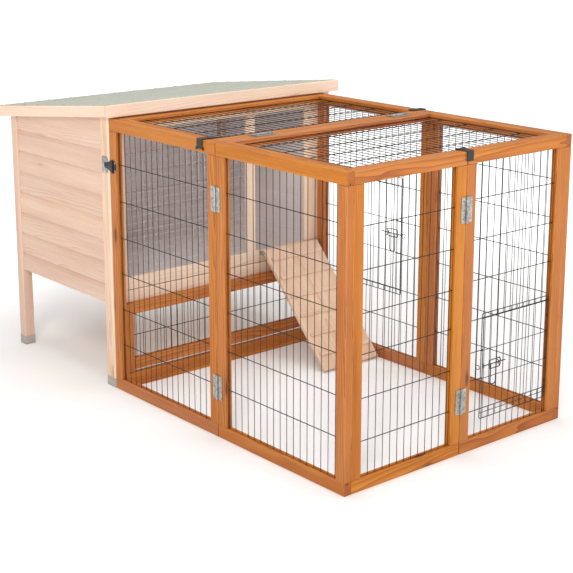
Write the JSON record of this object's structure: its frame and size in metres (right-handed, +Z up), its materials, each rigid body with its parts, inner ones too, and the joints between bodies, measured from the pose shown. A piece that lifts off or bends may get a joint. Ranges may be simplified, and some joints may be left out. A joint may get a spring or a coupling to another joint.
{
  "type": "rabbit hutch",
  "caption": "Raised wooden rabbit hutch with a rear-hinged sloping roof and a ramp, joined to a wire-panel run with lid, swinging gates, wire doors and sliding latches.",
  "frame": {"origin": "on the ground under the middle of the whole object's plan rectangle", "axes": "+Z up, +Y from the run's end wall towards the hutch, +X to the right seen from the run's end"},
  "size_m": [1, 1.873, 0.962],
  "materials": {
    "run_wood": "orange-brown stain, satin, grain showing",
    "hutch_wood": "pale thin stain over softwood, matte",
    "trim_wood": "cream thin stain over softwood, matte",
    "black_wire": "black coated welded wire",
    "window_wire": "dull zinc coated welded wire",
    "hinge_steel": "zinc plated pressed steel",
    "black_clip": "black coated pressed steel",
    "leg_cap": "grey moulded plastic",
    "roof_felt": "pale grey-green mineral felt"
  },
  "bodies": {
    "frame": {"left_front_frame": "run_wood", "left_front_mesh": "black_wire", "right_front_frame": "run_wood", "right_front_mesh": "black_wire", "end_left_frame": "run_wood", "end_left_mesh": "black_wire", "end_right_frame": "run_wood", "end_right_mesh": "black_wire", "rear_lid_frame": "run_wood", "rear_lid_mesh": "black_wire", "rear_sill": "run_wood", "low_panel_frame": "run_wood", "low_panel_mesh": "black_wire", "fixed_hinge_leaves": "hinge_steel", "hinge_pins": "hinge_steel", "hasp_plate": "hinge_steel", "hutch_legs": "hutch_wood", "leg_caps": "leg_cap", "corner_facings": "trim_wood", "hutch_floor": "hutch_wood", "floor_joists": "hutch_wood", "front_boards": "trim_wood", "front_stiles": "trim_wood", "top_rails": "trim_wood", "window_mesh": "window_wire", "left_side_boards": "hutch_wood", "right_side_boards": "hutch_wood", "rear_boards": "hutch_wood", "ramp_brackets": "hinge_steel"},
    "left_gate": {"left_rear_frame": "run_wood", "left_rear_mesh": "black_wire", "left_gate_hinge_leaves": "hinge_steel", "left_clip_bracket": "black_clip", "hasp_base": "black_clip"},
    "right_gate": {"right_rear_frame": "run_wood", "right_rear_mesh": "black_wire", "right_gate_hinge_leaves": "hinge_steel", "right_clip_bracket": "black_clip"},
    "front_lid": {"front_lid_frame": "run_wood", "front_lid_mesh": "black_wire", "lid_hinge_moving_leaves": "hinge_steel", "end_clip_bracket": "black_clip"},
    "end_door": {"end_wire_door": "black_wire"},
    "end_latch": {"end_latch_bolt": "black_wire"},
    "side_door": {"side_wire_door": "black_wire"},
    "side_latch": {"side_latch_bolt": "black_wire"},
    "left_clip": {"left_lid_clip": "black_clip"},
    "right_clip": {"right_lid_clip": "black_clip"},
    "end_clip": {"end_lid_clip": "black_clip"},
    "hasp": {"hasp_arm": "black_clip"},
    "roof": {"roof_deck": "hutch_wood", "roof_felt": "roof_felt", "roof_fascia": "trim_wood", "roof_bargeboards": "trim_wood", "roof_hinge_moving_leaves": "hinge_steel"},
    "ramp": {"ramp_board": "hutch_wood", "ramp_cleats": "hutch_wood", "ramp_knuckles": "hinge_steel"}
  },
  "joints": [
    {"name": "left_gate_hinge", "type": "hinge", "parent": "frame", "child": "left_gate", "pos_m": [-0.4875, -0.359, 0.457], "axis": [0, 0, 1], "range_deg": [0, 170]},
    {"name": "right_gate_hinge", "type": "hinge", "parent": "frame", "child": "right_gate", "pos_m": [0.4385, -0.359, 0.457], "axis": [0, 0, -1], "range_deg": [0, 170]},
    {"name": "front_lid_hinge", "type": "hinge", "parent": "frame", "child": "front_lid", "pos_m": [-0.0245, -0.344, 0.9175], "axis": [-1, 0, 0], "range_deg": [0, 110]},
    {"name": "end_door_hinge", "type": "hinge", "parent": "frame", "child": "end_door", "pos_m": [0.363, -0.9244, 0.254], "axis": [0, 0, 1], "range_deg": [0, 110]},
    {"name": "end_latch_slide", "type": "slide", "parent": "end_door", "child": "end_latch", "axis": [-1, 0, 0], "range_m": [0, 0.028]},
    {"name": "side_door_hinge", "type": "hinge", "parent": "right_gate", "child": "side_door", "pos_m": [0.4294, 0.0705, 0.457], "axis": [0, 0, -1], "range_deg": [-110, 0]},
    {"name": "side_latch_slide", "type": "slide", "parent": "side_door", "child": "side_latch", "axis": [0, -1, 0], "range_m": [0, 0.028]},
    {"name": "left_clip_pivot", "type": "hinge", "parent": "left_gate", "child": "left_clip", "pos_m": [-0.4867, -0.288, 0.889], "axis": [0, 1, 0], "range_deg": [-100, 0]},
    {"name": "right_clip_pivot", "type": "hinge", "parent": "right_gate", "child": "right_clip", "pos_m": [0.4377, -0.299, 0.889], "axis": [0, -1, 0], "range_deg": [-100, 0]},
    {"name": "end_clip_pivot", "type": "hinge", "parent": "front_lid", "child": "end_clip", "pos_m": [-0.018, -0.894, 0.9167], "axis": [1, 0, 0], "range_deg": [-100, 0]},
    {"name": "hasp_pivot", "type": "hinge", "parent": "left_gate", "child": "hasp", "pos_m": [-0.4875, 0.186, 0.761], "axis": [0, 0, -1], "range_deg": [-120, 0]},
    {"name": "roof_hinge", "type": "hinge", "parent": "frame", "child": "roof", "pos_m": [0, 0.8495, 0.87119], "axis": [-1, 0, 0], "range_deg": [0, 60]},
    {"name": "ramp_hinge", "type": "hinge", "parent": "frame", "child": "ramp", "pos_m": [0.2745, 0.1925, 0.36553], "axis": [-1, 0, 0], "range_deg": [0, 115]}
  ]
}
